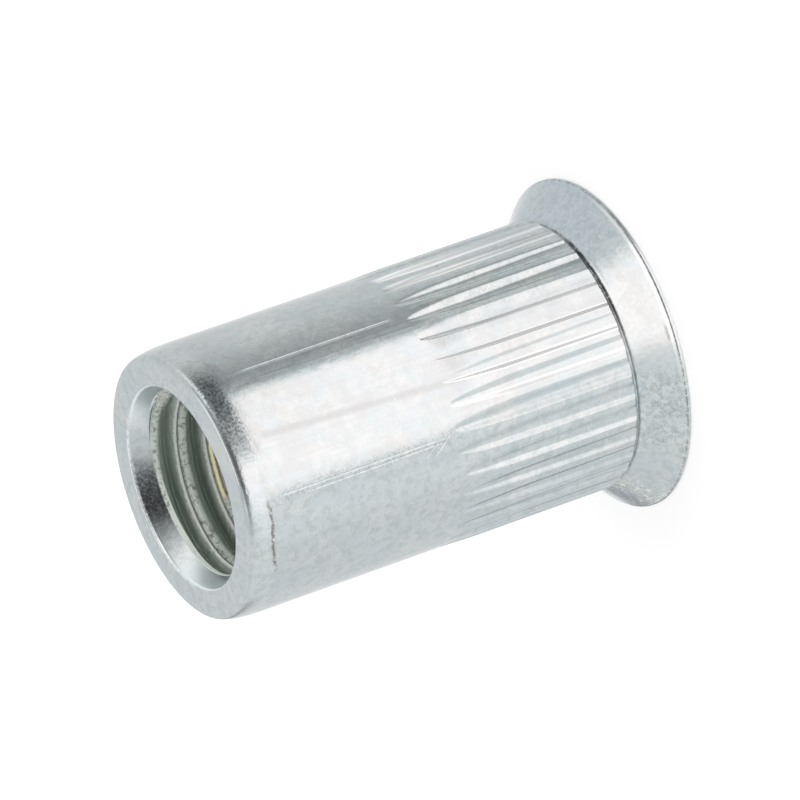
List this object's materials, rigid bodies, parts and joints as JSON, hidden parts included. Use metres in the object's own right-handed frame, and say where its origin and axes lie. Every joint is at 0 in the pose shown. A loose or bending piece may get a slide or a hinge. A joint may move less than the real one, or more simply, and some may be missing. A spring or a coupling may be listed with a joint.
{
  "type": "rivet nut",
  "caption": "Open-end blind rivet nut with a countersunk head, a ribbed shank, a thin folding wall and a metric thread in its far end.",
  "frame": {"origin": "middle of the flat face of the head, which the part stands on", "axes": "+Z along the axis from the head's face to the open end; a groove between two ribs lies 6 degrees from +X"},
  "size_m": [0.016, 0.016, 0.0225],
  "materials": {
    "zinc_plated_steel": "bright zinc plating over drawn steel, pale bluish grey, lightly mottled"
  },
  "bodies": {
    "root": {"rivet_nut": "zinc_plated_steel"}
  },
  "joints": []
}
